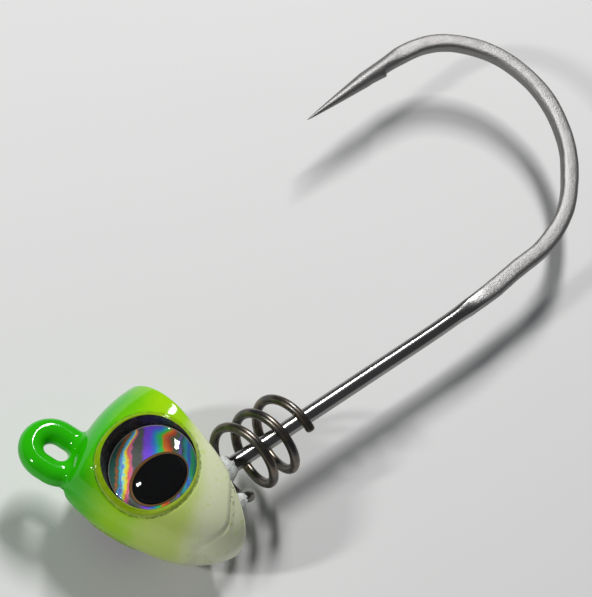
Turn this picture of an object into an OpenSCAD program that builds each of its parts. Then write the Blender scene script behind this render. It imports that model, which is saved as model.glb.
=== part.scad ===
// Swimbait jig head: a cast lead fish head on a forged jig hook, with a screw-in bait keeper.
// The hook lies in the XY plane. The origin is the centre of the line-tie ring, +X runs back along
// the shank to the bend, +Y is the side of the head's back and of the hook point, and +Z comes out
// of the left cheek.

/* [Hook] */
// Diameter of the round hook wire
wire_d = 1.3; // [1.1:0.05:1.4]
// How far the shank runs below the centre of the line-tie ring
shank_drop = 8.4; // [8.2:0.1:8.6]
// Angle between the leg under the ring and the shank
leg_angle = 70.7; // [68:0.1:73]
// Radius of the bend that joins the leg to the shank
leg_bend_r = 2.2; // [1.8:0.1:2.6]
// Radius of the ring's round ends, to the middle of the wire
ring_r = 1.63; // [1.55:0.01:1.75]
// Length of the ring's straight sides
ring_straight = 0.68; // [0.4:0.02:0.9]
// Where the straight shank ends
shank_end_x = 30.5; // [28:0.5:33]
// Radius of the long, slight sweep behind the shank
sweep_r = 142; // [120:1:160]
// Angle that the sweep turns through
sweep_angle = 5.5; // [4:0.1:7]
// Radius of the lower half of the bend
bend_low_r = 13.3; // [12:0.1:14]
// Angle that the lower half turns through
bend_low_angle = 79; // [75:1:83]
// Radius of the upper half of the bend
bend_top_r = 8.1; // [7.6:0.1:8.6]
// Angle that the upper half turns through
bend_top_angle = 99; // [96:1:101]
// Straight length between the bend and the taper
spear_l = 3.8; // [3:0.1:5]
// Length of the needle taper
taper_l = 6.8; // [6:0.1:7.4]
// Thickness of the flattened wire in the bend
forged_t = 1.1; // [1:0.02:1.2]
// Width of the flattened wire in the bend
forged_w = 1.42; // [1.3:0.02:1.5]
// Where on the sweep the flattened wire starts
forged_start_x = 35.2; // [34:0.1:37]

/* [Head] */
// Foremost point of the nose
nose_x = -1.36; // [-1.4:0.02:-1.2]
// Height of the nose point
nose_y = -2.76; // [-2.9:0.02:-2.6]
// Length from the nose to the rear rim
head_l = 8.77; // [8.6:0.01:8.9]
// Rise from the nose to the back of the head
back_rise = 3.6; // [3.5:0.02:3.7]
// Drop from the nose to the belly
belly_drop = 11.5; // [11.3:0.1:11.7]
// Half of the head's width
half_w = 5.45; // [5.3:0.05:5.6]
// Height of the widest line at the rear rim
widest_y = -4.26; // [-4.5:0.02:-4.1]
// How far the rear face bulges behind the rim
rear_bulge = 1.13; // [0.9:0.01:1.15]
// Depth of the step behind the gill plates
gill_step = 0.12; // [0.06:0.02:0.2]

/* [Eyes] */
// Radius of the eye socket
socket_r = 3.5; // [3.4:0.02:3.55]
// Radius of the printed foil disc
foil_r = 3.38; // [3.2:0.02:3.4]
// Angle by which the eyes look forward
eye_forward = 24; // [23:0.2:25]
// Angle by which the eyes look up
eye_up = 8; // [7:0.5:9]
// Radius of the clear dome's sphere
dome_r = 6.2; // [5.8:0.1:7]
// Height of the dome's edge above the foil
dome_edge = 0.34; // [0.2:0.02:0.4]

/* [Keeper] */
// Diameter of the keeper wire
keeper_d = 0.76; // [0.6:0.02:0.8]
// Radius of the coil, to the middle of the wire
coil_r = 2.75; // [2.6:0.05:2.9]
// Distance between turns
coil_pitch = 2.22; // [2:0.02:2.4]
// Number of turns
coil_turns = 2.88; // [2.7:0.02:3]
// Where the coil starts
coil_start_x = 8.95; // [8.8:0.05:9.2]

/* [Coating] */
// Radius of the coated ring's section
coat_r = 0.98; // [0.9:0.01:1.05]
// Length of coated shank behind the head
shank_coat_l = 2.2; // [0.8:0.1:2.4]
// Length of coated keeper wire behind the head
keeper_coat_l = 1.2; // [0.8:0.05:1.4]

/* [Hidden] */

$fn = 32;
wire_r = wire_d / 2;
cast_gap = 0.01;          // cast and coated surfaces stop this short of the wire they grip
cut = 1;                  // cutters reach this far past what they cut

// The leg under the ring, in the ring's plane
leg_dir = [cos(leg_angle), -sin(leg_angle)];
leg_corner = leg_dir * shank_drop / sin(leg_angle);
leg_tangent = leg_bend_r * tan(leg_angle / 2);
shank_x0 = leg_corner.x + leg_tangent;

// Head outline: exponents that shape how fast it opens out from the nose
back_power = 1.79;
belly_power = 1.24;
width_power = 0.925;
cheek_power = 2.31;       // above 2, the lower cheeks are fuller than an ellipse
rake = 0.022;             // how fast the rear rim rakes forward below rake_y
rake_y = -8;
rake_depth = 9;           // below rake_y - rake_depth the rake grows no further
rim_x = nose_x + head_l;
rings = 20;
rear_rings = 6;
around = 48;

// Gill plate: its edge is an arc seen from the side
gill_c = [4.4, -9.5];
gill_r = 3.25;
gill_soft = 0.35;
section_r = 5;            // typical radius of a head section, which turns the step into a scale

// Eyes
eye_pos = [3.83, -6, 3];
socket_floor = -0.2;
socket_reach = 6;         // the socket is cut this far out, past the cheek
adhesive_inset = 0.04;    // the adhesive ends this far inside the foil's edge
foil_t = 0.08;
pupil_pos = [-0.17, -1.12];
pupil_r = [2.28, 1.75];
pupil_ring_w = 0.18;
print_t = 0.04;
lens_gap = 0.02;
dome_sides = 96;

// Keeper
tail_x = 5.6;             // inner end of the keeper's tail, inside the lead
tail_turn = 0.16;         // share of a turn over which the tail bends into the coil
tail_places = [1, 0.6, 0.2];  // where the straight tail has its sections, as shares of its run
coil_phase = 172;         // where round the shank the coil starts, from the top
keeper_sides = 10;
keeper_steps = 84;
keeper_look = 0.5;        // degrees ahead and behind over which the wire's direction is taken
keeper_hole_over = 20;    // degrees that the hole for the root runs past the coating

// Point and barb
point_r = 0.03;
barb_h = 0.2;
barb_l = 1.4;             // length of the barb's ramp
barb_gap = 0.4;           // from the barb's ramp to the taper
barb_cut = 0.1;           // length over which the barb's back edge drops

// Sweep of the hook wire
wire_sides = 16;
forged_blend = 2.5;       // length over which the round wire turns flat
forged_past = 1;          // the wire is round again this far past the bend
station_tol = 0.1;        // less than the distance between stations near the shank's end
root_r = 1;               // bend radius where the ring leaves the leg
ring_open = 250;          // where round the ring the wire's cut end lies

// Coatings on the two wires behind the head
shank_coat_r = 0.95;
keeper_coat_r = 0.62;
rear_cover = 2;           // the coatings start this far inside the rear rim

// ---------------------------------------------------------------- hook

function soft_step(t) = let (c = min(1, max(0, t))) c * c * (3 - 2 * c);

function arc_l(r, a) = abs(r) * a * PI / 180;

shank_y = -shank_drop;
shank_l = shank_end_x - shank_x0;

// The wire's root: it leaves the leg's line to one side and runs round the ring. Place and turn of
// the root's arc are in the ring's own frame, where the leg comes up the line x = 0.
root_turn = atan2(sqrt(pow(ring_r, 2) + 2 * ring_r * root_r), root_r);
root_y = -ring_straight / 2 - sqrt(pow(ring_r, 2) + 2 * ring_r * root_r);
leg_l = norm(leg_corner) - leg_tangent + root_y;

// The wire from its cut end in the ring to the point, as runs of [radius, length, steps]; radius 0
// is straight and a negative radius turns right
ring_runs = [
    [-ring_r, arc_l(ring_r, ring_open - 180), 5],
    [0, ring_straight, 1],
    [-ring_r, arc_l(ring_r, 180), 12],
    [0, ring_straight, 1],
    [-ring_r, arc_l(ring_r, root_turn), 5],
    [root_r, arc_l(root_r, root_turn), 5]
];
shank_runs = [
    [0, leg_l, 1],
    [leg_bend_r, arc_l(leg_bend_r, leg_angle), 8],
    [0, shank_l, 1]
];
bend_runs = [
    [sweep_r, arc_l(sweep_r, sweep_angle), 12],
    [bend_low_r, arc_l(bend_low_r, bend_low_angle), 16],
    [bend_top_r, arc_l(bend_top_r, bend_top_angle), 20]
];
point_runs = [
    [0, spear_l - barb_gap - barb_l, 1],
    [0, barb_cut, 1],
    [0, barb_l - barb_cut, 2],
    [0, barb_gap, 1],
    [0, taper_l, 2]
];
runs = concat(ring_runs, shank_runs, bend_runs, point_runs);

function total(list, i = 0) = i == len(list) ? 0 : list[i][1] + total(list, i + 1);

shank_end = total(ring_runs) + total(shank_runs);
forged_from = shank_end + forged_start_x - shank_end_x;
bend_end = shank_end + total(bend_runs);
wire_end = bend_end + spear_l + taper_l;

// [x, y, heading] after length d of a run of radius r that starts at [x, y, heading] = p
function along_run(p, r, d) =
    r == 0
        ? [p.x + d * cos(p.z), p.y + d * sin(p.z), p.z]
        : let (h = p.z + d / r * 180 / PI)
            [p.x + r * (sin(h) - sin(p.z)), p.y + r * (cos(p.z) - cos(h)), h];

// Stations [x, y, heading, distance] of every run from number i on, each run's end left to the next
function stations(p, d, i) =
    i == len(runs)
        ? [[p.x, p.y, p.z, d]]
        : let (r = runs[i][0], l = runs[i][1], n = runs[i][2])
            concat(
                [for (k = [0 : n - 1])
                    let (q = along_run(p, r, l * k / n))
                        [q.x, q.y, q.z, d + l * k / n]],
                stations(along_run(p, r, l), d + l, i + 1)
            );

// 1 where the wire is flattened, 0 where it is round
function flat_at(d) =
    soft_step((d - forged_from) / forged_blend)
        * soft_step((bend_end + forged_past - d) / forged_blend);

function barb_at(d) =
    let (u = d - (bend_end + spear_l - barb_gap - barb_l))
        u < barb_cut / 2 || u > barb_l ? 0 : barb_h * (barb_l - u) / (barb_l - barb_cut);

// The section of the wire at one station, larger by gap: wide in the hook's plane, with a flat on
// each side
function wire_section(st, gap) =
    let (
        d = st[3],
        left = [-sin(st.z), cos(st.z)],
        taper = min(1, (wire_end - d) / taper_l),
        scale = (point_r + (wire_r - point_r) * taper) / wire_r,
        half_w = (wire_r + (forged_w / 2 - wire_r) * flat_at(d)) * scale + gap,
        half_t = (wire_r + (forged_t / 2 - wire_r) * flat_at(d)) * scale + gap
    )
    [for (j = [0 : wire_sides - 1])
        let (
            a = 360 * j / wire_sides,
            out = half_w * cos(a) + barb_at(d) * max(0, cos(a)),
            up = max(-half_t, min(half_t, half_w * sin(a)))
        )
        [st.x + left.x * out, st.y + left.y * out, up]];

// Every station of the wire, starting at the cut end
ring_tilt = 90 - leg_angle;
cut_end = [ring_r * cos(ring_open), ring_r * sin(ring_open) - ring_straight / 2];
wire_stations = stations(
    [
        cut_end.x * cos(ring_tilt) - cut_end.y * sin(ring_tilt),
        cut_end.x * sin(ring_tilt) + cut_end.y * cos(ring_tilt),
        ring_open - 90 + ring_tilt
    ],
    0,
    0
);

// Closed skin over a list of loops that all have the same number of points
module skin(loops) {
    n = len(loops);
    m = len(loops[0]);
    sides = [for (i = [0 : n - 2], j = [0 : m - 1])
        let (
            a = i * m + j,
            b = i * m + (j + 1) % m
        )
        each [[b, a, b + m], [b + m, a, a + m]]];
    first = [[for (j = [0 : m - 1]) j]];
    last = [[for (j = [m - 1 : -1 : 0]) (n - 1) * m + j]];
    polyhedron(points = [for (loop = loops) each loop], faces = concat(first, sides, last));
}

// The ring: two round ends and two straight sides, long axis along the leg
module ring_tube(r) {
    rotate([0, 0, 90 - leg_angle])
        for (side = [0, 180])
            rotate([0, 0, side]) {
                translate([0, ring_straight / 2, 0])
                    rotate_extrude(angle = 180)
                        translate([ring_r, 0])
                            circle(r = r);
                translate([ring_r, ring_straight / 2, 0])
                    rotate([90, 0, 0])
                        cylinder(r = r, h = ring_straight);
            }
}

module hook() {
    color("dimgray")
        skin([for (st = wire_stations) wire_section(st, 0)]);
}

// The hole that the wire leaves in what is cast or painted over its ring, leg and shank
module wire_hole() {
    skin([for (st = wire_stations)
        if (st[3] < shank_end + station_tol)
            wire_section(st, cast_gap)]);
}

// ---------------------------------------------------------------- head

function signed_power(v, p) = sign(v) * pow(abs(v), p);

// How far the rim is raked forward at height y
function rake_at(y) = rake * pow(max(0, min(rake_depth, rake_y - y)), 2);

// 1 behind and below the gill plate's edge, 0 on the plate
function gill_at(x, y) =
    y > gill_c.y ? 0 : soft_step((norm([x, y] - gill_c) - gill_r) / gill_soft);

// Points of one section. open is 0 at the nose and 1 at the rim; x is the section's place, and
// shrink draws it in towards its middle on the rear face.
function section(open, x, shrink) =
    let (
        top = nose_y + back_rise * pow(open, back_power),
        low = nose_y - belly_drop * pow(open, belly_power),
        wide = half_w * pow(open, width_power),
        mid = nose_y + (widest_y - nose_y) * open,
        centre = (top + low) / 2
    )
    [for (i = [0 : around - 1])
        let (
            a = 360 * i / around,
            p = sin(a) > 0 ? 1 : 2 / cheek_power,
            half_h = sin(a) > 0 ? top - mid : mid - low,
            y0 = mid + half_h * signed_power(sin(a), p),
            z0 = wide * signed_power(cos(a), p),
            y1 = centre + (y0 - centre) * shrink,
            k = 1 - gill_step / section_r * gill_at(x - rake_at(y1), y1)
        )
        [x - rake_at(y1), centre + (y1 - centre) * k, z0 * shrink * k]
    ];

// The plain head before anything is cut from it
module head_blank() {
    front = [for (i = [1 : rings])
        let (a = 90 * i / rings)
            section(sin(a), nose_x + head_l * (1 - cos(a)), 1)];
    rear = [for (i = [1 : rear_rings - 1])
        let (a = 90 * i / rear_rings)
            section(1, rim_x + rear_bulge * sin(a), cos(a))];
    loops = concat(front, rear);
    rim_mid = nose_y + (back_rise - belly_drop) / 2;
    poles = [[nose_x, nose_y, 0], [rim_x + rear_bulge, rim_mid, 0]];
    n = len(loops);
    pts = concat([for (loop = loops) each loop], poles);
    sides = [for (i = [0 : n - 2], j = [0 : around - 1])
        let (
            a = i * around + j,
            b = i * around + (j + 1) % around
        )
        each [[a, b, b + around], [a, b + around, a + around]]];
    nose_fan = [for (j = [0 : around - 1]) [n * around, (j + 1) % around, j]];
    rear_fan = [for (j = [0 : around - 1])
        let (base = (n - 1) * around)
            [n * around + 1, base + j, base + (j + 1) % around]];
    polyhedron(points = pts, faces = concat(sides, nose_fan, rear_fan));
}

module socket(side) {
    eye(side)
        translate([0, 0, socket_floor])
            cylinder(r = socket_r, h = socket_reach);
}

module lead_head() {
    color("greenyellow")
        difference() {
            head_blank();
            socket(1);
            socket(-1);
            wire_hole();
            keeper_hole();
        }
}

// The thick coat of paint on the line-tie ring
module line_tie_coat() {
    color("limegreen")
        difference() {
            ring_tube(coat_r);
            wire_hole();
            head_blank();
        }
}

// ---------------------------------------------------------------- eyes

// Places its children in an eye's own frame: z out of the eye, x to the rear, y up
module eye(side) {
    mirror([0, 0, side > 0 ? 0 : 1])
        translate(eye_pos)
            rotate([-eye_up, -eye_forward, 0])
                children();
}

module pupil_shape(extra, h) {
    translate([pupil_pos.x, pupil_pos.y, 0])
        scale([pupil_r.x + extra, pupil_r.y + extra, 1])
            cylinder(r = 1, h = h);
}

module eye_adhesive(side) {
    color("whitesmoke")
        eye(side)
            translate([0, 0, socket_floor])
                cylinder(r = foil_r - adhesive_inset, h = -socket_floor - foil_t);
}

module iris_foil(side) {
    color("violet")
        eye(side)
            translate([0, 0, -foil_t])
                cylinder(r = foil_r, h = foil_t);
}

module pupil_ring(side) {
    color("saddlebrown")
        eye(side)
            difference() {
                pupil_shape(pupil_ring_w, print_t);
                translate([0, 0, -cut])
                    pupil_shape(0, print_t + 2 * cut);
            }
}

module pupil(side) {
    color("black")
        eye(side)
            pupil_shape(0, print_t);
}

module eye_lens(side) {
    edge_drop = sqrt(pow(dome_r, 2) - pow(foil_r, 2));
    color("lightcyan", 0.4)
        eye(side)
            difference() {
                intersection() {
                    translate([0, 0, dome_edge - edge_drop])
                        sphere(r = dome_r, $fn = dome_sides);
                    cylinder(r = foil_r, h = dome_r);
                }
                translate([0, 0, -cut])
                    pupil_shape(pupil_ring_w + lens_gap, cut + print_t + lens_gap);
            }
}

// ---------------------------------------------------------------- keeper

// Run, in degrees of the coil, at the tail's inner end and at the end of the coating on its root
keeper_s0 = (tail_x - coil_start_x) / (coil_r * PI / 180);
root_end = (rim_x + rear_bulge + keeper_coat_l - coil_start_x) / (coil_r * PI / 180);
root_steps = 4;

// How far the wire has turned round the shank after s degrees of its own run, easing in
function wrap(s) =
    let (t = tail_turn * 360)
        s < 0 ? 0 : s < t ? s * s / (2 * t) : s - t / 2;

// Distance along the shank: the tail runs straight, then slows to the coil's pitch
function advance(s) =
    let (
        t = tail_turn * 360,
        pitch = coil_pitch / 360,
        tail = coil_r * PI / 180,
        u = min(max(s, 0), t)
    )
    coil_start_x + min(s, 0) * tail + tail * (u - u * u / (2 * t))
        + pitch * u * u / (2 * t) + pitch * max(0, s - t);

function keeper_point(s) =
    let (a = coil_phase + wrap(s))
        [advance(s), shank_y + coil_r * cos(a), coil_r * sin(a)];

// The keeper's wire as far as s degrees of its run, at radius r
module keeper_wire(s_end, steps, r) {
    places = concat(
        [for (share = tail_places) keeper_s0 * share],
        [for (i = [0 : steps]) s_end * i / steps]
    );
    skin([for (s = places)
        let (
            t = keeper_point(s + keeper_look) - keeper_point(s - keeper_look),
            a = coil_phase + wrap(s),
            out = [0, cos(a), sin(a)],
            side = cross(t / norm(t), out)
        )
        [for (j = [0 : keeper_sides - 1])
            let (b = 360 * j / keeper_sides)
                keeper_point(s) + r * (cos(b) * out + sin(b) * side)]]);
}

module keeper_spring() {
    color("dimgray")
        keeper_wire(coil_turns * 360 + tail_turn * 180, keeper_steps, keeper_d / 2);
}

// The hole that the keeper's root leaves in what is cast or painted over it
module keeper_hole() {
    keeper_wire(root_end + keeper_hole_over, root_steps, keeper_d / 2 + cast_gap);
}

// ---------------------------------------------------------------- coatings behind the head

module shank_run(x0, x1, r) {
    translate([x0, shank_y, 0])
        rotate([0, 90, 0])
            cylinder(r = r, h = x1 - x0);
}

module shank_coat() {
    color("white")
        difference() {
            shank_run(rim_x - rear_cover, rim_x + rear_bulge + shank_coat_l, shank_coat_r);
            shank_run(shank_x0, shank_end_x, wire_r + cast_gap);
            head_blank();
        }
}

module keeper_root_coat() {
    color("white")
        difference() {
            keeper_wire(root_end, root_steps, keeper_coat_r);
            keeper_hole();
            head_blank();
        }
}

lead_head();
hook();
line_tie_coat();
keeper_spring();
shank_coat();
keeper_root_coat();
eye_adhesive(1);  // left_eye_adhesive
iris_foil(1);  // left_iris_foil
pupil_ring(1);  // left_pupil_ring
pupil(1);  // left_pupil
eye_lens(1);  // left_eye_lens
eye_adhesive(-1);  // right_eye_adhesive
iris_foil(-1);  // right_iris_foil
pupil_ring(-1);  // right_pupil_ring
pupil(-1);  // right_pupil
eye_lens(-1);  // right_eye_lens
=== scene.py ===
"""Looks of a painted jig head: cast head, forged hook, wire keeper and domed foil eyes.

Lengths are in millimetres until a mesh is made. The frame is the part's own: the origin is the
centre of the line-tie ring, +X runs back along the shank, +Y is the side of the hook's point and
+Z comes out of the left cheek.
"""

import math

import bpy
import numpy as np
from mathutils import Matrix, Vector


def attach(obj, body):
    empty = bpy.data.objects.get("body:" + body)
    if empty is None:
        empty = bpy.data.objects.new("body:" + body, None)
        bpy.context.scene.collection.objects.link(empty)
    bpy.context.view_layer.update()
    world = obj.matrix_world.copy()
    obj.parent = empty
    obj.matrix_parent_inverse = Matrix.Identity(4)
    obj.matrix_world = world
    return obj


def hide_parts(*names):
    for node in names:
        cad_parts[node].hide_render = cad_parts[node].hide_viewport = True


MM = 0.001
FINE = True

# ---------------------------------------------------------------- sizes

# The hook's wire: a leg down from the ring, the shank, a slight sweep, a bend in two radii, a
# straight spear and the needle taper. Each curve is a radius and an angle.
WIRE_R = 0.65
SHANK_Y = -8.4
LEG_START = 3.2  # the wire is drawn from this far down the leg, inside the head
LEG_ANGLE = math.radians(70.7)
LEG_BEND_R = 2.2
SHANK_END_X = 30.5
SWEEP = (142, math.radians(5.5))
BEND_LOW = (13.3, math.radians(79))
BEND_TOP = (8.1, math.radians(99))
SPEAR_L = 3.8
TAPER_L = 6.8
TAPER_POWER = 0.85
POINT_SHARE = 0.04  # the point's thickness as a share of the wire's

# Where the wire is forged it is wider, thinner and squarer
FORGED_START = 4.2  # along the sweep
FORGED_PAST = 1.5  # past the bend
FORGED_BLEND = 2.5
FORGED_WIDER = 0.06
FORGED_THINNER = 0.1
FORGED_SQUARE = 1.6

BARB_START = 1.95  # past the bend
BARB_L = 1.4
BARB_H = 0.2

# The painted ring on the nose
RING_R = 1.63
RING_HALF_STRAIGHT = 0.34
COAT_R = 0.98
RING_BLEND = 0.55

# The head's outline, which opens out from the nose to the rear rim
NOSE = (-1.36, -2.76)
HEAD_L = 8.77
BACK_RISE = 3.6
BACK_POWER = 1.79
BELLY_DROP = 11.57
BELLY_POWER = 1.24
HALF_W = 5.45
WIDTH_POWER = 0.925
CHEEK_POWER = 2.31
WIDEST_Y = -4.26
REAR_BULGE = 1.13
RAKE = 0.022
RAKE_Y = -8.0
RAKE_DEPTH = 9
HEAD_BOX = ((-3.3, -14.9, -5.9), (9.1, 3.2, 5.9))

# The gill plate's edge: an arc below and a straight side behind, which meet at the corner
GILL_CENTRE = (4.9, -9.6)
GILL_R = 3.4
GILL_CORNER = (5.5, -12.9)
GILL_SIDE = (0.787, -0.618)  # points out of the plate, square to its side
GILL_FRONT = 2.5  # nothing is cut ahead of this
GILL_TOP = -9.3  # or above this
GILL_STEP = 0.11
GILL_CREASE = 0.07

# Each eye, in a frame of its own: back along the head, up, and out of the eye
EYE_FORWARD = math.radians(24)
EYE_UP = math.radians(8)
EYE_POS = np.array([3.83, -6.0, 3.0])
EYE_OUT = np.array([
    -math.sin(EYE_FORWARD) * math.cos(EYE_UP),
    math.sin(EYE_UP),
    math.cos(EYE_FORWARD) * math.cos(EYE_UP),
])
EYE_BACK = np.array([math.cos(EYE_FORWARD), 0, math.sin(EYE_FORWARD)])
EYE_TOP = np.cross(EYE_OUT, EYE_BACK)
SOCKET_R = 3.5
SOCKET_FLOOR = -0.2
SOCKET_BLEND = 0.09
FOIL_R = 3.38
FOIL_TOP = -0.015
FOIL_LOW = -0.08
PUPIL_POS = (-0.17, -1.12)
PUPIL_R = (2.28, 1.75)
PRINT_T = 0.05
BRONZE_LEAST_W = 0.08
BRONZE_EXTRA_W = 0.17  # at its upper front, where it is widest
DOME_R = 6.2
DOME_LOW = 0.075
DOME_EDGE = 0.34
DOME_ROUND_H = 0.12
DOME_ROUND_W = 0.25
EYE_AROUND = 128 if FINE else 48

# The rolled lip of the socket and the groove outside it, which lie further out in front
LIP_R = 3.87
LIP_SHIFT = 0.2
LIP_H = 0.08
GROOVE_H = 0.06

# The keeper: a straight tail in the lead that bends into an open coil round the shank
KEEPER_R = 0.38
TAIL_X = 5.6
COIL_R = 2.75
COIL_PITCH = 2.22
COIL_TURNS = 2.88
COIL_START = 8.95
TAIL_TURN = 0.16
COIL_PHASE = math.radians(172)

# Where each paint collar starts and how long it is, along X
SHANK_COLLAR = (7.6, 3.0)
ROOT_COLLAR = (7.0, 2.6)

# ---------------------------------------------------------------- fields and meshes


def smooth_min(a, b, k):
    h = np.clip(0.5 + 0.5 * (b - a) / k, 0, 1)
    return b * (1 - h) + a * h - k * h * (1 - h)


def smooth_max(a, b, k):
    return -smooth_min(-a, -b, k)


def soft_step(t):
    c = np.clip(t, 0, 1)
    return c * c * (3 - 2 * c)


def full_turn(count):
    return np.linspace(0, 2 * math.pi, count, endpoint=False)


def waves(s, *terms):
    """A sum of sine waves, each given as height, rate and shift."""
    return sum(height * np.sin(rate * s + shift) for height, rate, shift in terms)


def gradient(field, p, eps=0.01):
    out = np.empty_like(p)
    for axis in range(3):
        d = np.zeros(3)
        d[axis] = eps
        out[..., axis] = (field(p + d) - field(p - d)) / (2 * eps)
    return out


def corner_values(v):
    """What v holds at the eight corners of every grid cell, one array for each corner."""
    cut = (slice(None, -1), slice(1, None))
    return [v[cut[a], cut[b], cut[c]] for a in (0, 1) for b in (0, 1) for c in (0, 1)]


def untangle(values):
    """Flips the least value on each grid face whose corners alternate between inside and outside.

    Such a face would give the mesh an edge with four faces.
    """
    tangled = True
    while tangled:
        tangled = False
        for axis in range(3):
            v = np.moveaxis(values, axis, 0)
            inside = v < 0
            near, far = inside[:, :-1, :-1], inside[:, 1:, 1:]
            right, left = inside[:, 1:, :-1], inside[:, :-1, 1:]
            for i, j, k in np.argwhere((near == far) & (right == left) & (near != right)):
                corners = [(i, j, k), (i, j + 1, k), (i, j, k + 1), (i, j + 1, k + 1)]
                least = min(corners, key=lambda place: abs(v[place]))
                v[least] = -v[least]
                tangled = True


def surface_of(field, low, high, step):
    """Points and quads of the field's zero surface, by surface nets, then moved onto it."""
    axes = [np.arange(low[a], high[a] + step, step) for a in range(3)]
    grid_y, grid_z = np.meshgrid(axes[1], axes[2], indexing="ij")
    values = np.stack([
        field(np.stack([np.full_like(grid_y, x), grid_y, grid_z], -1)) for x in axes[0]
    ])
    untangle(values)
    inside = values < 0
    count = sum(c.astype(np.int8) for c in corner_values(inside))
    mixed = (count > 0) & (count < 8)
    index = np.full(mixed.shape, -1)
    index[mixed] = np.arange(mixed.sum())
    cells = np.argwhere(mixed)
    corners = np.stack([c[mixed] for c in corner_values(values)], -1)
    offsets = np.array([(a, b, c) for a in (0, 1) for b in (0, 1) for c in (0, 1)], float)
    total = np.zeros((len(cells), 3))
    hits = np.zeros(len(cells))
    for a in range(8):
        for b in range(a + 1, 8):
            if np.abs(offsets[a] - offsets[b]).sum() != 1:
                continue
            va, vb = corners[:, a], corners[:, b]
            crossed = (va < 0) != (vb < 0)
            t = np.where(crossed, va / np.where(crossed, va - vb, 1), 0)
            point = offsets[a] + t[:, None] * (offsets[b] - offsets[a])
            total += np.where(crossed[:, None], point, 0)
            hits += crossed
    points = np.array(low) + (cells + total / hits[:, None]) * step

    quads = []
    for axis in range(3):
        one, two = (axis + 1) % 3, (axis + 2) % 3
        here = np.moveaxis(inside, (axis, one, two), (0, 1, 2))
        ids = np.moveaxis(index, (axis, one, two), (0, 1, 2))
        changed = here[:-1] != here[1:]
        i, j, k = np.nonzero(changed[:, 1:-1, 1:-1])
        ring = np.stack([ids[i, j, k], ids[i, j + 1, k], ids[i, j + 1, k + 1], ids[i, j, k + 1]], -1)
        flip = ~here[i, j + 1, k + 1]
        ring[flip] = ring[flip][:, ::-1]
        quads.append(ring)
    for _ in range(5):
        g = gradient(field, points)
        move = field(points)[:, None] * g / np.maximum((g * g).sum(-1, keepdims=True), 0.05)
        points -= np.clip(move, -step, step)
    return points, np.concatenate(quads)


def add_piece(name, points, faces, material, replaced):
    """A smooth mesh from millimetre points, on the part's one body, in place of CAD solids."""
    mesh = bpy.data.meshes.new(name)
    mesh.from_pydata((np.asarray(points) * MM).tolist(), [], [list(map(int, f)) for f in faces])
    mesh.validate()
    mesh.shade_smooth()
    mesh.materials.append(material)
    obj = bpy.data.objects.new(name, mesh)
    bpy.context.scene.collection.objects.link(obj)
    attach(obj, "root")
    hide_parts(*replaced)


def tube_faces(loops, around):
    """Quads between the loops of a tube, and a cap on each end."""
    i, j = np.meshgrid(np.arange(loops - 1), np.arange(around), indexing="ij")
    a, b = i * around + j, i * around + (j + 1) % around
    faces = np.stack([a, b, b + around, a + around], -1).reshape(-1, 4).tolist()
    faces.append(list(range(around))[::-1])
    faces.append([(loops - 1) * around + k for k in range(around)])
    return faces


# ---------------------------------------------------------------- head


def blank_level(p):
    """Below 0 inside the plain head; it is near a distance only close to the surface."""
    y = p[..., 1]
    x = p[..., 0] + RAKE * np.clip(RAKE_Y - y, 0, RAKE_DEPTH) ** 2
    t = np.clip((x - NOSE[0]) / HEAD_L, 0, 1)
    s = np.sqrt(np.clip(1 - (1 - t) ** 2, 1e-5, 1))
    behind = np.clip((x - NOSE[0] - HEAD_L) / REAR_BULGE, 0, 1)
    k = np.sqrt(np.clip(1 - behind ** 2, 1e-4, 1))
    top = NOSE[1] + BACK_RISE * s ** BACK_POWER
    low = NOSE[1] - BELLY_DROP * s ** BELLY_POWER
    wide = HALF_W * s ** WIDTH_POWER
    mid = NOSE[1] + (WIDEST_Y - NOSE[1]) * s
    centre = (top + low) / 2
    y = centre + (y - centre) / k
    z = p[..., 2] / k
    upper = y > mid
    half = np.maximum(np.where(upper, top - mid, mid - low), 1e-3)
    power = np.where(upper, 2.0, CHEEK_POWER)
    g = (np.abs((y - mid) / half) ** power + np.abs(z / wide) ** power) ** (1 / power)
    level = (1 - 1 / np.maximum(g, 0.2)) * np.hypot(y - mid, z) * k
    beyond = np.maximum(NOSE[0] - x, x - NOSE[0] - HEAD_L - REAR_BULGE)
    return np.maximum(level, beyond + 0.02)


def blank_distance(p):
    """The plain head's level divided by its own slope, which makes it near a distance."""
    v = blank_level(p)
    eps = 0.03
    g = 0
    for axis in range(3):
        d = np.zeros(3)
        d[axis] = eps
        g = g + ((blank_level(p + d) - v) / eps) ** 2
    return v / np.clip(np.sqrt(g), 0.6, 3)


def ring_distance(p):
    """Distance to the painted ring: two round ends and two straight sides along the leg."""
    c, s = math.cos(math.pi / 2 - LEG_ANGLE), math.sin(math.pi / 2 - LEG_ANGLE)
    across = p[..., 0] * c + p[..., 1] * s
    along = -p[..., 0] * s + p[..., 1] * c
    along = along - np.clip(along, -RING_HALF_STRAIGHT, RING_HALF_STRAIGHT)
    return np.hypot(np.hypot(across, along) - RING_R, p[..., 2]) - COAT_R


def eye_local(p):
    """Coordinates in the eye's own frame, the same for both cheeks."""
    q = np.stack([p[..., 0], p[..., 1], np.abs(p[..., 2])], -1) - EYE_POS
    return q @ EYE_BACK, q @ EYE_TOP, q @ EYE_OUT


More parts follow.
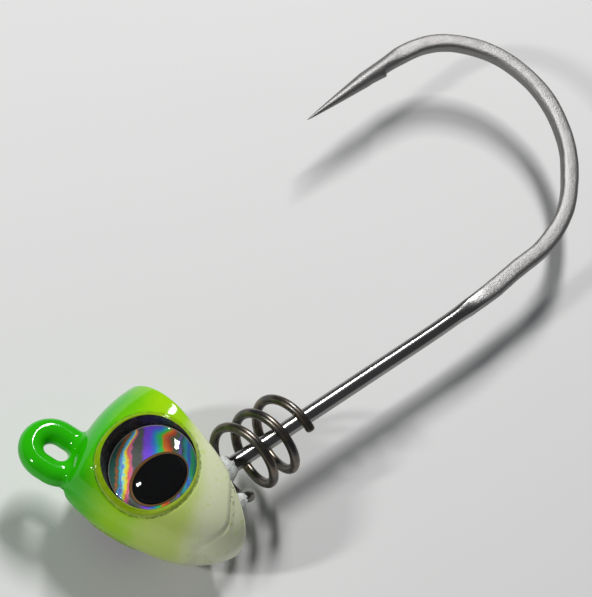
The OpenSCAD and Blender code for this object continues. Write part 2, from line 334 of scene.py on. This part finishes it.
def gill_depth(p):
    """How deep the surface is cut behind the gill plate, with a crease along its edge."""
    x, y = p[..., 0], p[..., 1]
    under = np.hypot(x - GILL_CENTRE[0], y - GILL_CENTRE[1]) - GILL_R
    behind = GILL_SIDE[0] * (x - GILL_CORNER[0]) + GILL_SIDE[1] * (y - GILL_CORNER[1])
    d = smooth_max(under, behind, 0.3)
    below = soft_step((GILL_TOP - y) / 0.9)
    front = soft_step(x - GILL_FRONT)
    step = GILL_STEP * soft_step(d / 0.3 + 0.5) * (1 - soft_step((d - 0.3) / 1.6))
    crease = GILL_CREASE * np.exp(-((d - 0.05) / 0.12) ** 2)
    return (step + crease) * below * front


def head_field(p):
    """Below 0 inside the painted head, with its ring, gill plates, eye sockets and their lips."""
    body = blank_distance(p) + gill_depth(p)
    body = smooth_min(body, ring_distance(p), RING_BLEND)
    u, v, h = eye_local(p)
    r = np.hypot(u, v)
    near = soft_step((h + 1.6) / 0.5)
    lip = r - LIP_R + LIP_SHIFT * u / np.maximum(r, 1)
    body = body - near * LIP_H * np.exp(-((lip + 0.14) / 0.12) ** 2)
    body = body + near * GROOVE_H * np.exp(-((lip - 0.06) / 0.07) ** 2)
    socket = np.maximum(r - SOCKET_R, SOCKET_FLOOR - h)
    return smooth_max(body, -socket, SOCKET_BLEND)


def build_head():
    points, faces = surface_of(head_field, *HEAD_BOX, 0.1 if FINE else 0.2)
    add_piece(
        "painted_head", points, faces, paint_material(),
        ("lead_head", "line_tie_coat"),
    )


# ---------------------------------------------------------------- hook


def hook_path(step):
    """The wire from inside the head to the point: x, y, heading and length at each station.

    Also gives the lengths at which the forged part's sweep starts and the bend ends.
    """
    corner = SHANK_Y / -math.sin(LEG_ANGLE)
    tangent = LEG_BEND_R * math.tan(LEG_ANGLE / 2)
    runs = [
        (0, corner - tangent - LEG_START),
        (LEG_BEND_R, LEG_BEND_R * LEG_ANGLE),
        (0, SHANK_END_X - (corner * math.cos(LEG_ANGLE) + tangent)),
    ]
    sweep_run = len(runs)
    runs += [(radius, radius * angle) for radius, angle in (SWEEP, BEND_LOW, BEND_TOP)]
    spear_run = len(runs)
    runs.append((0, SPEAR_L + TAPER_L))
    edges = np.cumsum([0] + [length for _, length in runs])
    s = np.linspace(0, edges[-1], int(edges[-1] / step) + 1)
    bend = np.zeros_like(s)
    for (radius, length), start in zip(runs, edges):
        if radius:
            bend += np.clip(s - start, 0, length) / radius
    heading = bend - LEG_ANGLE
    d = np.diff(s)
    mid = (heading[1:] + heading[:-1]) / 2
    x = LEG_START * math.cos(LEG_ANGLE) + np.concatenate([[0], np.cumsum(np.cos(mid) * d)])
    y = -LEG_START * math.sin(LEG_ANGLE) + np.concatenate([[0], np.cumsum(np.sin(mid) * d)])
    return x, y, heading, s, edges[sweep_run], edges[spear_run]


def build_hook():
    x, y, heading, s, sweep_start, bend_end = hook_path(0.12 if FINE else 0.3)
    around = 32 if FINE else 16
    forged = soft_step((s - sweep_start - FORGED_START) / FORGED_BLEND)
    forged = forged * soft_step((bend_end + FORGED_PAST - s) / FORGED_BLEND)
    taper = np.clip((s[-1] - s) / TAPER_L, 0, 1)
    scale = POINT_SHARE + (1 - POINT_SHARE) * taper ** TAPER_POWER
    wander = forged * waves(s, (0.014, 0.9, 1), (0.01, 1.7, 0), (0.006, 4.1, 0))
    half_w = (WIRE_R + forged * (FORGED_WIDER + wander)) * scale
    half_t = (WIRE_R - forged * (FORGED_THINNER + 0.5 * wander)) * scale
    power = 2 / (2 + FORGED_SQUARE * forged)
    ramp = (s - bend_end - BARB_START) / BARB_L
    barb = np.where((ramp > 0) & (ramp < 1), BARB_H * (1 - ramp), 0)
    a = full_turn(around)
    ca, sa = np.cos(a)[None], np.sin(a)[None]
    out = half_w[:, None] * np.sign(ca) * np.abs(ca) ** power[:, None]
    out = out + barb[:, None] * np.clip(ca, 0, 1) ** 3
    up = half_t[:, None] * np.sign(sa) * np.abs(sa) ** power[:, None]
    kink = forged * waves(s, (0.05, 0.55, 2), (0.02, 1.15, 0.5))
    left = np.stack([-np.sin(heading), np.cos(heading)], -1)
    px = x[:, None] + left[:, :1] * (out + kink[:, None])
    py = y[:, None] + left[:, 1:] * (out + kink[:, None])
    points = np.stack([px, py, up], -1).reshape(-1, 3)
    add_piece(
        "hook_wire", points, tube_faces(len(s), around), hook_material(), ("hook",)
    )


# ---------------------------------------------------------------- keeper and collars


def keeper_point(s):
    """The keeper wire after s radians of its own run, and the way out from the shank there."""
    t = TAIL_TURN * 2 * math.pi
    u = np.clip(s, 0, t)
    turned = COIL_PHASE + np.where(s < 0, 0, np.where(s < t, u * u / (2 * t), s - t / 2))
    pitch = COIL_PITCH / (2 * math.pi)
    along = COIL_START + np.minimum(s, 0) * COIL_R + COIL_R * (u - u * u / (2 * t))
    along = along + pitch * u * u / (2 * t) + pitch * np.maximum(0, s - t)
    out = np.stack([np.zeros_like(s), np.cos(turned), np.sin(turned)], -1)
    centre = np.stack([along, np.full_like(s, SHANK_Y), np.zeros_like(s)], -1)
    return centre + COIL_R * out, out


def build_keeper():
    around = 20 if FINE else 12
    first = (TAIL_X - COIL_START) / COIL_R
    last = COIL_TURNS * 2 * math.pi + TAIL_TURN * math.pi
    s = np.linspace(first, last, 420 if FINE else 160)
    p, out = keeper_point(s)
    ahead, _ = keeper_point(s + 0.01)
    back, _ = keeper_point(s - 0.01)
    t = (ahead - back) / np.linalg.norm(ahead - back, axis=-1, keepdims=True)
    side = np.cross(t, out)
    rim = np.clip((last - s) / 0.03, 0, 1)
    r = KEEPER_R * (0.86 + 0.14 * np.sqrt(rim))
    a = full_turn(around)[None, :, None]
    points = p[:, None] + r[:, None, None] * (np.cos(a) * out[:, None] + np.sin(a) * side[:, None])
    add_piece(
        "keeper_coil", points.reshape(-1, 3), tube_faces(len(s), around), keeper_material(),
        ("keeper_spring",),
    )


def uneven_wave(a, b, seed):
    """A repeatable wave over two angles, between -1 and 1."""
    return (
        np.sin(a * 3 + seed) * 0.4
        + np.sin(a * 7 + b * 5 + seed * 2.3) * 0.35
        + np.sin(a * 13 - b * 9 + seed * 4.1) * 0.25
    )


def build_collar(name, node, material, path, r0, r1, hole, seed):
    """A ragged blob of paint round a wire; path(t) gives the wire's centre for t from 0 to 1.

    It narrows from r0 to r1, then closes down to the hole in its last part.
    """
    around = 40 if FINE else 20
    rows = 30 if FINE else 14
    closing = 0.28
    t = np.linspace(0, 1, rows)[:, None]
    a = full_turn(around)[None]
    ragged = t * (1 + 0.07 * uneven_wave(a, 0 * a, seed))
    profile = r0 + (r1 - r0) * t ** 1.4
    swell = np.sin(math.pi * np.minimum(t * 1.2, 1))
    profile = profile + 0.05 * uneven_wave(a, t * 6, seed + 1) * swell
    close = np.sqrt(np.clip(1 - (np.clip(t - 1 + closing, 0, 1) / closing) ** 2, 0, 1))
    r = hole + (np.maximum(profile, hole + 0.03) - hole) * close
    points = path(ragged)
    points[..., 1] += r * np.cos(a)
    points[..., 2] += r * np.sin(a)
    points = points.reshape(-1, 3)
    add_piece(name, points, tube_faces(rows, around), material, (node,))


def shank_path(t):
    start, length = SHANK_COLLAR
    return np.stack([start + length * t, np.full_like(t, SHANK_Y), 0 * t], -1)


def root_path(t):
    start, length = ROOT_COLLAR
    return keeper_point((start + length * t - COIL_START) / COIL_R)[0]


def build_collars():
    material = collar_material()
    build_collar(
        "shank_collar", "shank_coat", material, shank_path, r0=1.25, r1=1.08,
        hole=WIRE_R + 0.01, seed=1.0,
    )
    build_collar(
        "keeper_root_collar", "keeper_root_coat", material, root_path, r0=0.72, r1=0.5,
        hole=KEEPER_R + 0.005, seed=3.0,
    )


# ---------------------------------------------------------------- eyes


def eye_to_part(u, v, h, side):
    p = EYE_POS + u[..., None] * EYE_BACK + v[..., None] * EYE_TOP + h[..., None] * EYE_OUT
    p[..., 2] *= side
    return p


def build_disc(name, node, side, rings, edge, height, material):
    """A closed sheet over an outline.

    edge(a) gives the outline and its middle, and height(u, v) gives the top and the bottom.
    """
    around = EYE_AROUND
    edge_u, edge_v, mid_u, mid_v = edge(full_turn(around))
    share = np.linspace(0, 1, rings + 1)[1:][:, None]
    u = np.append((mid_u + share * (edge_u - mid_u)).ravel(), mid_u)
    v = np.append((mid_v + share * (edge_v - mid_v)).ravel(), mid_v)
    top, low = height(u, v)
    points = np.concatenate([eye_to_part(u, v, h, side) for h in (top, low)])
    per_sheet = rings * around + 1
    faces = []
    for i in range(rings - 1):
        for j in range(around):
            p, q = i * around + j, i * around + (j + 1) % around
            faces.append([p, p + around, q + around, q])
    faces += [[per_sheet - 1, j, (j + 1) % around] for j in range(around)]
    faces += [[f + per_sheet for f in face][::-1] for face in faces]
    rim = (rings - 1) * around
    for j in range(around):
        p, q = rim + j, rim + (j + 1) % around
        faces.append([p, p + per_sheet, q + per_sheet, q])
    if side < 0:
        faces = [f[::-1] for f in faces]
    add_piece(name, points, faces, material, (node,))


def circle_edge(a):
    return FOIL_R * np.cos(a), FOIL_R * np.sin(a), 0.0, 0.0


def pupil_edge(a, extra=0):
    u = PUPIL_POS[0] + (PUPIL_R[0] + extra) * np.cos(a)
    v = PUPIL_POS[1] + (PUPIL_R[1] + extra) * np.sin(a)
    return u, v, *PUPIL_POS


def crinkled_sheet(u, v):
    """The foil: a thin sheet that ripples inside its flat edge."""
    r = np.hypot(u, v)
    wave = 0.012 * np.sin(u * 1.7 + v * 0.9) + 0.01 * np.sin(u * 0.8 - v * 2.3 + 1)
    inside = 1 - np.clip(r / FOIL_R, 0, 1) ** 4
    return FOIL_TOP + wave * inside, np.full_like(u, FOIL_LOW)


def flat_print(u, v):
    return np.full_like(u, PRINT_T), np.zeros_like(u)


def dome(u, v):
    """The lens: a shallow cap of a sphere whose edge is rounded down."""
    r = np.hypot(u, v)
    centre = DOME_EDGE - math.sqrt(DOME_R ** 2 - FOIL_R ** 2)
    top = centre + np.sqrt(DOME_R ** 2 - np.minimum(r, FOIL_R) ** 2)
    near_edge = np.clip((r - FOIL_R + DOME_ROUND_W) / DOME_ROUND_W, 0, 1)
    return top - DOME_ROUND_H * near_edge ** 2, np.full_like(u, DOME_LOW)


def build_pupil_ring(name, node, side, material):
    """A thin printed band round the pupil, wider at its upper front."""
    around = EYE_AROUND
    a = full_turn(around)
    upper_front = 2.1
    wide = BRONZE_LEAST_W + BRONZE_EXTRA_W * (0.5 + 0.5 * np.cos(a - upper_front))
    thick = 0.9 * PRINT_T
    loops = []
    for extra, h in ((0, 0.0), (0, thick), (wide, thick), (wide, 0.0)):
        u, v, _, _ = pupil_edge(a, extra)
        loops.append(eye_to_part(u, v, np.full_like(a, h), side))
    faces = []
    for i in range(4):
        for j in range(around):
            p, q = i * around + j, i * around + (j + 1) % around
            r, s = (i + 1) % 4 * around + (j + 1) % around, (i + 1) % 4 * around + j
            faces.append([s, r, q, p] if side > 0 else [p, q, r, s])
    add_piece(name, np.concatenate(loops), faces, material, (node,))


def build_eyes():
    foil, pupil, bronze, lens = (
        foil_material(), pupil_material(), bronze_material(), lens_material()
    )
    for word, side in (("left", 1), ("right", -1)):
        build_disc(
            f"{word}_foil", f"{word}_iris_foil", side, 20, circle_edge, crinkled_sheet, foil,
        )
        build_disc(
            f"{word}_pupil_print", f"{word}_pupil", side, 6, pupil_edge, flat_print, pupil,
        )
        build_pupil_ring(f"{word}_bronze_ring", f"{word}_pupil_ring", side, bronze)
        build_disc(
            f"{word}_lens", f"{word}_eye_lens", side, 30 if FINE else 12, circle_edge, dome, lens,
        )


# ---------------------------------------------------------------- materials

GREEN = (0.02, 0.46, 0.0005)
LIME = (0.33, 0.66, 0.002)
CREAM = (0.54, 0.67, 0.16)
WHITE = (0.74, 0.78, 0.52)

# The foil's colours along its bands, from the front and top to the rear and bottom
RAINBOW = [
    (0.000, (0.03, 0.16, 0.12)), (0.070, (0.75, 0.2, 0.04)), (0.100, (0.05, 0.2, 0.18)),
    (0.130, (0.1, 0.65, 0.75)), (0.160, (0.2, 0.15, 0.95)), (0.180, (0.2, 0.9, 0.95)),
    (0.200, (0.95, 0.95, 0.05)), (0.218, (1.0, 0.75, 0.03)), (0.232, (0.95, 0.12, 0.15)),
    (0.255, (0.85, 0.2, 0.35)), (0.275, (0.12, 0.11, 0.12)), (0.333, (0.09, 0.12, 0.08)),
    (0.368, (0.12, 0.1, 0.14)), (0.400, (0.24, 0.07, 0.8)), (0.465, (0.2, 0.08, 0.95)),
    (0.500, (0.04, 0.2, 0.85)), (0.535, (0.02, 0.45, 0.6)), (0.565, (0.02, 0.6, 0.2)),
    (0.598, (0.04, 0.7, 0.03)), (0.620, (0.9, 0.25, 0.01)), (0.674, (0.75, 0.07, 0.01)),
    (0.710, (0.14, 0.13, 0.06)), (0.764, (0.1, 0.16, 0.08)), (0.790, (0.22, 0.12, 0.6)),
    (0.820, (0.04, 0.12, 0.1)), (0.861, (0.02, 0.4, 0.4)), (0.896, (0.04, 0.12, 0.7)),
    (0.940, (0.02, 0.4, 0.1)), (1.000, (0.02, 0.2, 0.25)),
]


class Graph:
    """A small helper that builds a node material."""

    def __init__(self, name):
        self.material = bpy.data.materials.new(name)
        self.material.use_nodes = True
        self.tree = self.material.node_tree
        self.tree.nodes.clear()
        self.output = self.tree.nodes.new("ShaderNodeOutputMaterial")

    def put(self, socket, value):
        if isinstance(value, bpy.types.NodeSocket):
            self.tree.links.new(value, socket)
        elif socket.type == "RGBA" and isinstance(value, tuple):
            socket.default_value = (*value, 1)
        else:
            socket.default_value = value

    def node(self, kind, inputs=None, **props):
        n = self.tree.nodes.new(kind)
        for key, value in props.items():
            setattr(n, key, value)
        for key, value in (inputs or {}).items():
            self.put(n.inputs[key], value)
        return n

    def math(self, op, a, b=0.0, clamp=False):
        return self.node("ShaderNodeMath", {0: a, 1: b}, operation=op, use_clamp=clamp).outputs[0]

    def add(self, total, *terms):
        for term in terms:
            total = self.math("ADD", total, term)
        return total

    def minus(self, a, b):
        return self.math("SUBTRACT", a, b)

    def times(self, product, *factors):
        for factor in factors:
            product = self.math("MULTIPLY", product, factor)
        return product

    def hypot(self, a, b):
        return self.math("SQRT", self.add(self.times(a, a), self.times(b, b)))

    def vector(self, op, a, b):
        n = self.node("ShaderNodeVectorMath", {0: a, 1: b}, operation=op)
        return n.outputs["Value"] if op == "DOT_PRODUCT" else n.outputs["Vector"]

    def mix(self, factor, a, b):
        n = self.node("ShaderNodeMix", data_type="RGBA")
        self.put(n.inputs[0], factor)
        self.put(n.inputs[6], a)
        self.put(n.inputs[7], b)
        return n.outputs[2]

    def step(self, value, low, high):
        """0 at low, 1 at high, smooth between; low may be above high."""
        n = self.node(
            "ShaderNodeMapRange",
            {"Value": value, "From Min": low, "From Max": high, "To Min": 0.0, "To Max": 1.0},
            interpolation_type="SMOOTHSTEP",
        )
        return n.outputs["Result"]

    def noise(self, at, scale, detail=2.0, rough=0.5):
        n = self.node(
            "ShaderNodeTexNoise",
            {"Vector": at, "Scale": scale, "Detail": detail, "Roughness": rough},
        )
        return n.outputs["Fac"]

    def wobble(self, at, scale, detail, rough=0.5):
        """Noise with its middle at 0."""
        return self.minus(self.noise(at, scale, detail, rough), 0.5)

    def ramp(self, factor, stops):
        n = self.node("ShaderNodeValToRGB", {"Fac": factor})
        elements = n.color_ramp.elements
        while len(elements) < len(stops):
            elements.new(0.5)
        for element, (place, colour) in zip(elements, stops):
            element.position = place
            element.color = (*colour, 1)
        return n.outputs["Color"]

    def bump(self, height, strength, distance):
        inputs = {"Height": height, "Strength": strength, "Distance": distance * MM}
        return self.node("ShaderNodeBump", inputs).outputs["Normal"]

    def millimetres(self):
        at = self.node("ShaderNodeTexCoord").outputs["Object"]
        return self.vector("MULTIPLY", at, (1000, 1000, 1000))

    def stretched(self, at, *scales):
        return self.vector("MULTIPLY", at, scales)

    def parts(self, at):
        n = self.node("ShaderNodeSeparateXYZ", {0: at})
        return n.outputs[0], n.outputs[1], n.outputs[2]

    def eye(self, at):
        """Coordinates in the eye's frame, as sockets: back, top, out and radius."""
        x, y, z = self.parts(at)
        depth = self.math("ABSOLUTE", z)
        folded = self.node("ShaderNodeCombineXYZ", {0: x, 1: y, 2: depth}).outputs[0]
        q = self.vector("SUBTRACT", folded, tuple(EYE_POS))
        axes = (EYE_BACK, EYE_TOP, EYE_OUT)
        u, v, h = [self.vector("DOT_PRODUCT", q, tuple(axis)) for axis in axes]
        return u, v, h, self.hypot(u, v)

    def surface(self, **inputs):
        names = {key.replace("_", " "): value for key, value in inputs.items()}
        n = self.node("ShaderNodeBsdfPrincipled", names)
        self.tree.links.new(n.outputs[0], self.output.inputs[0])


def lime_over_green(g, x, y, cloud, grain):
    """Green on top that fades to lime lower down and further back."""
    down = g.times(g.add(y, 2.8), -1.0)
    back = g.times(g.minus(x, 3.0), 0.55)
    fade = g.add(down, back, g.times(cloud, 2.2), g.times(grain, 0.9))
    return g.mix(g.step(fade, -2.4, 2.7), GREEN, LIME)


def cream_belly(g, at, cloud, grain, base):
    """Cream under a curved edge, whiter further down and back, with lime specks in it."""
    x, y, _ = g.parts(at)
    offset = g.minus(x, 1.5)
    edge = g.add(g.times(offset, offset, 0.09), -8.1)
    under = g.add(g.minus(edge, y), g.times(cloud, 1.6), g.times(grain, 1.1))
    past_nose = g.step(g.add(x, g.times(cloud, 2.0)), -2.0, 1.8)
    cream = g.times(g.step(under, -0.5, 1.5), past_nose)
    white = g.step(g.minus(under, g.times(g.minus(6.5, x), 0.6)), 0.0, 3.5)
    base = g.mix(cream, base, g.mix(white, CREAM, WHITE))
    specks = g.times(g.step(g.noise(at, 2.6, 1, 0.4), 0.6, 0.75), cream)
    return g.mix(g.times(specks, 0.3), base, (0.44, 0.68, 0.02))


def gill_shade_and_pinholes(g, at, base):
    """A faint band of painted shade along the step behind the gill plate, with dark pinholes in it.
    """
    x, y, _ = g.parts(at)
    from_corner = g.vector("SUBTRACT", at, (*GILL_CORNER, 0))
    past = g.vector("DOT_PRODUCT", from_corner, (*GILL_SIDE, 0))
    band = g.times(g.step(past, -0.05, 0.1), g.step(past, 0.6, 0.3))
    band = g.times(band, g.step(y, -10.3, -11.0), g.step(x, 5.3, 5.8))
    pinholes = g.times(g.step(g.noise(at, 6.0, 2, 0.5), 0.56, 0.66), band)
    # The band darkens the paint as painted shade along the step; the pinholes are pits in the paint.
    base = g.mix(g.times(band, 0.15), base, (0.2, 0.22, 0.14))
    return g.mix(g.times(pinholes, 0.6), base, (0.06, 0.07, 0.03))


def socket_edge(g, at, base):
    """An olive lip, dark pits in the groove outside it, and scuffed black on the socket's wall.

    Gives the colour, and how much of the wall is at each place.
    """
    u, _, h, r = g.eye(at)
    outward = g.step(h, -0.35, -0.2)
    uneven = g.times(g.wobble(at, 1.8, 3, 0.6), 0.16)
    edge_r = g.add(g.times(g.math("DIVIDE", u, r), LIP_SHIFT), r, uneven)

    lip = g.times(g.step(r, 3.5, 3.55), g.step(edge_r, LIP_R + 0.06, LIP_R - 0.06), outward)
    olive = g.mix(g.noise(at, 2.2, 4, 0.7), (0.12, 0.2, 0.002), (0.4, 0.56, 0.005))
    base = g.mix(g.times(lip, 0.8), base, olive)

    groove = g.step(edge_r, LIP_R - 0.04, LIP_R + 0.04)
    groove = g.times(groove, g.step(edge_r, LIP_R + 0.15, LIP_R + 0.07), outward)
    pits = g.step(g.noise(at, 3.5, 3, 0.6), 0.25, 0.65)
    base = g.mix(g.times(groove, pits, 0.7), base, (0.05, 0.1, 0.001))

    wall = g.times(g.step(r, 3.56, 3.53), outward)
    scuffs = g.step(g.noise(g.stretched(at, 1.2, 3.0, 3.0), 1.4, 5, 0.7), 0.5, 0.75)
    black = g.mix(scuffs, (0.003, 0.003, 0.004), (0.2, 0.2, 0.21))
    return g.mix(wall, base, black), wall


def paint_material():
    g = Graph("airbrushed_paint")
    at = g.millimetres()
    x, y, _ = g.parts(at)
    cloud = g.wobble(at, 0.45, 3)
    grain = g.wobble(at, 4.0, 4, 0.7)
    base = lime_over_green(g, x, y, cloud, grain)
    base = cream_belly(g, at, cloud, grain, base)
    base = gill_shade_and_pinholes(g, at, base)
    base, wall = socket_edge(g, at, base)
    rough = g.add(g.times(grain, 0.05), 0.08, g.times(wall, 0.45))
    peel = g.bump(g.noise(at, 1.3, 2), 0.12, 0.05)
    g.surface(Base_Color=base, Roughness=rough, Normal=peel, Specular_IOR_Level=0.38)
    return g.material


def hook_material():
    """Polished wire in front, and brighter, coarser forged steel on the bend and the point."""
    g = Graph("polished_and_forged_steel")
    at = g.millimetres()
    x, y, _ = g.parts(at)
    forged = g.math("MAXIMUM", g.step(x, 35.5, 39.0), g.step(y, 0.0, 4.0))
    tint = g.noise(at, 0.35, 3)
    fine = g.noise(g.stretched(at, 1.0, 1.0, 3.0), 6.0, 5, 0.75)
    polished_colour = g.mix(tint, (0.22, 0.215, 0.21), (0.36, 0.35, 0.345))
    forged_colour = g.mix(fine, (0.12, 0.117, 0.115), (0.4, 0.392, 0.385))
    colour = g.mix(forged, polished_colour, forged_colour)
    rough = g.add(g.times(forged, 0.26), g.times(fine, 0.14), 0.12)
    hammered = g.add(g.times(g.noise(at, 1.6, 3), 0.5), fine)
    height = g.times(hammered, g.add(g.times(forged, 0.85), 0.15))
    g.surface(
        Base_Color=colour, Metallic=1.0, Roughness=rough, Normal=g.bump(height, 0.45, 0.08)
    )
    return g.material


def keeper_material():
    g = Graph("dark_nickel_wire")
    at = g.millimetres()
    warm = g.noise(at, 0.7, 3)
    fine = g.noise(at, 6.0, 4, 0.6)
    colour = g.mix(g.step(warm, 0.4, 0.65), (0.1, 0.096, 0.092), (0.2, 0.165, 0.13))
    rough = g.add(g.times(fine, 0.2), 0.2)
    g.surface(Base_Color=colour, Metallic=1.0, Roughness=rough, Normal=g.bump(fine, 0.15, 0.03))
    return g.material


def collar_material():
    g = Graph("ragged_white_paint")
    at = g.millimetres()
    streak = g.noise(g.stretched(at, 1.2, 5.0, 5.0), 2.0, 4, 0.7)
    colour = g.mix(g.step(streak, 0.35, 0.6), (0.45, 0.48, 0.47), (0.92, 0.95, 0.93))
    g.surface(
        Base_Color=colour, Roughness=0.35, Coat_Weight=0.6, Coat_Roughness=0.08,
        Normal=g.bump(streak, 0.7, 0.12),
    )
    return g.material


def foil_bands(g, at):
    """Where each place lies across the foil's slanted bands, 0 to 1, and its radius.

    The bands waver, break up towards the front and top, and curl along the upper edge.
    """
    u, v, _, r = g.eye(at)
    across = g.minus(g.times(u, 0.777), g.times(v, 0.66))
    waver = g.times(g.wobble(at, 0.55, 2), 0.7)
    band = g.add(across, waver, g.times(g.wobble(at, 1.9, 3, 0.6), 0.45))
    broken = g.times(g.step(band, -1.5, -2.6), g.wobble(at, 2.4, 5, 0.75))
    band = g.add(band, g.times(broken, 1.2))
    brim = g.times(g.step(r, 2.45, 3.35), g.step(v, 0.0, 1.3))
    front = g.times(g.step(u, 1.5, 0.5), 1.15)
    rear = g.times(g.step(u, 1.7, 2.5), 0.65)
    band = g.minus(band, g.times(brim, g.add(front, rear)))
    return g.math("DIVIDE", g.add(band, 3.6), 7.2, clamp=True), r


def foil_material():
    g = Graph("holographic_foil_painted_glow")
    at = g.millimetres()
    place, r = foil_bands(g, at)
    fleck = g.noise(at, 7.0, 5, 0.75)
    flakes = g.times(g.step(fleck, 0.45, 0.75), 0.18)
    colour = g.mix(flakes, g.ramp(place, RAINBOW), (0.5, 0.5, 0.52))
    # A pale ring round the foil's edge: a painted highlight that stands for the bright edge of the
    # lens.
    colour = g.mix(g.step(r, 3.3, 3.36), colour, (0.7, 0.66, 0.6))
    # The emission is painted light: a faint glow in the foil's own colours that stands in for the
    # lamps' light a real foil throws back.
    g.surface(
        Base_Color=colour, Metallic=0.1, Roughness=g.add(g.times(fleck, 0.25), 0.25),
        Normal=g.bump(fleck, 0.25, 0.03), Emission_Color=colour, Emission_Strength=0.15,
    )
    return g.material


def pupil_material():
    g = Graph("black_gloss_print")
    at = g.millimetres()
    dust = g.step(g.noise(at, 5.0, 2), 0.7, 0.78)
    colour = g.mix(dust, (0.0005, 0.0005, 0.0006), (0.004, 0.004, 0.005))
    g.surface(Base_Color=colour, Roughness=0.4, Specular_IOR_Level=0.02)
    return g.material


def bronze_material():
    g = Graph("bronze_print")
    fine = g.noise(g.millimetres(), 6.0, 3)
    colour = g.mix(fine, (0.13, 0.052, 0.004), (0.24, 0.105, 0.012))
    g.surface(Base_Color=colour, Metallic=0.1, Roughness=g.add(g.times(fine, 0.2), 0.45))
    return g.material


def lens_material():
    """Clear resin: see-through, with a mirror-like skin that grows towards grazing angles."""
    g = Graph("clear_resin")
    wave = g.bump(g.noise(g.millimetres(), 0.8, 1), 0.05, 0.05)
    skin = g.node("ShaderNodeBsdfGlossy", {"Color": (1, 1, 1), "Roughness": 0.03, "Normal": wave})
    clear = g.node("ShaderNodeBsdfTransparent", {"Color": (0.97, 0.98, 0.98)})
    edge = g.node("ShaderNodeFresnel", {"IOR": 1.5, "Normal": wave}).outputs[0]
    share = g.math("MINIMUM", g.times(edge, 0.6), 0.2)
    both = g.node("ShaderNodeMixShader", {0: share, 1: clear.outputs[0], 2: skin.outputs[0]})
    g.tree.links.new(both.outputs[0], g.output.inputs[0])
    return g.material


def adhesive_material():
    g = Graph("foam_adhesive")
    pore = g.noise(g.millimetres(), 4.0, 3)
    colour = g.mix(pore, (0.5, 0.5, 0.47), (0.75, 0.75, 0.72))
    g.surface(Base_Color=colour, Roughness=0.8, Normal=g.bump(pore, 0.4, 0.05))
    return g.material


def floor_material():
    g = Graph("pale_floor")
    cloud = g.noise(g.millimetres(), 0.02, 2)
    g.surface(Base_Color=g.mix(cloud, (0.68, 0.68, 0.67), (0.73, 0.73, 0.72)), Roughness=0.7)
    return g.material


# ---------------------------------------------------------------- stage


def add_floor(height):
    mesh = bpy.data.meshes.new("floor")
    half = 1.5
    corners = [(x * half, y * half, height) for x, y in ((-1, -1), (1, -1), (1, 1), (-1, 1))]
    mesh.from_pydata(corners, [], [(0, 1, 2, 3)])
    mesh.materials.append(floor_material())
    floor = bpy.data.objects.new("floor", mesh)
    bpy.context.scene.collection.objects.link(floor)


def add_light(name, place, aim, size, power):
    light = bpy.data.lights.new(name, "AREA")
    light.shape = "RECTANGLE"
    light.size, light.size_y = size
    light.energy = power
    obj = bpy.data.objects.new(name, light)
    bpy.context.scene.collection.objects.link(obj)
    obj.location = place
    obj.rotation_euler = (Vector(aim) - Vector(place)).to_track_quat("-Z", "Y").to_euler()


def add_camera():
    """A long lens over the left cheek, ahead of the nose and on the belly's side."""
    right = Vector((0.7300, -0.6400, 0.2396)).normalized()
    ahead = Vector((0.5011, 0.2628, -0.8245)).normalized()
    up = right.cross(ahead).normalized()
    right = ahead.cross(up)
    camera = bpy.data.cameras.new("camera")
    camera.sensor_fit = "HORIZONTAL"
    camera.sensor_width = 36
    camera.lens = 218.9
    camera.clip_start = 0.01
    obj = bpy.data.objects.new("camera", camera)
    bpy.context.scene.collection.objects.link(obj)
    turn = Matrix((right, up, -ahead)).transposed()
    place = Vector((-117.2, -74.4, 233.7)) * MM
    obj.matrix_world = Matrix.Translation(place) @ turn.to_4x4()
    bpy.context.scene.camera = obj


def add_world():
    world = bpy.data.worlds.new("soft_studio")
    world.use_nodes = True
    back = world.node_tree.nodes["Background"]
    back.inputs["Color"].default_value = (0.9, 0.93, 1.0, 1)
    back.inputs["Strength"].default_value = 0.11
    bpy.context.scene.world = world


def dress_adhesive(frame):
    """The adhesive pads keep their CAD shape and only get a material."""
    glue = adhesive_material()
    for word in ("left", "right"):
        node = frame["nodes"][f"{word}_eye_adhesive"]
        node.data.materials.clear()
        node.data.materials.append(glue)


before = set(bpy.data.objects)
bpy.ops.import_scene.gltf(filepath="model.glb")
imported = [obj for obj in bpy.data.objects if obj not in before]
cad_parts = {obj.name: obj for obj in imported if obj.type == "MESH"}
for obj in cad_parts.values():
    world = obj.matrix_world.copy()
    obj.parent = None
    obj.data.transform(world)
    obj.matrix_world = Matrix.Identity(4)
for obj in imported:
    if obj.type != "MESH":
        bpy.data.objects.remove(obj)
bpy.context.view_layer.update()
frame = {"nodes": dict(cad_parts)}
build_head()
build_hook()
build_keeper()
build_collars()
build_eyes()
dress_adhesive(frame)
add_floor(-(HALF_W + 0.05) * MM)
add_light(
    "softbox", place=(0.142, 0.124, 0.233), aim=(0.01, 0, 0), size=(0.03, 0.1), power=0.68
)
add_light(
    "front_lamp", place=(-0.225, 0.075, 0.183), aim=(0.003, -0.006, 0), size=(0.02, 0.035),
    power=0.37,
)
add_world()
add_camera()
bpy.context.scene.view_settings.view_transform = "Standard"
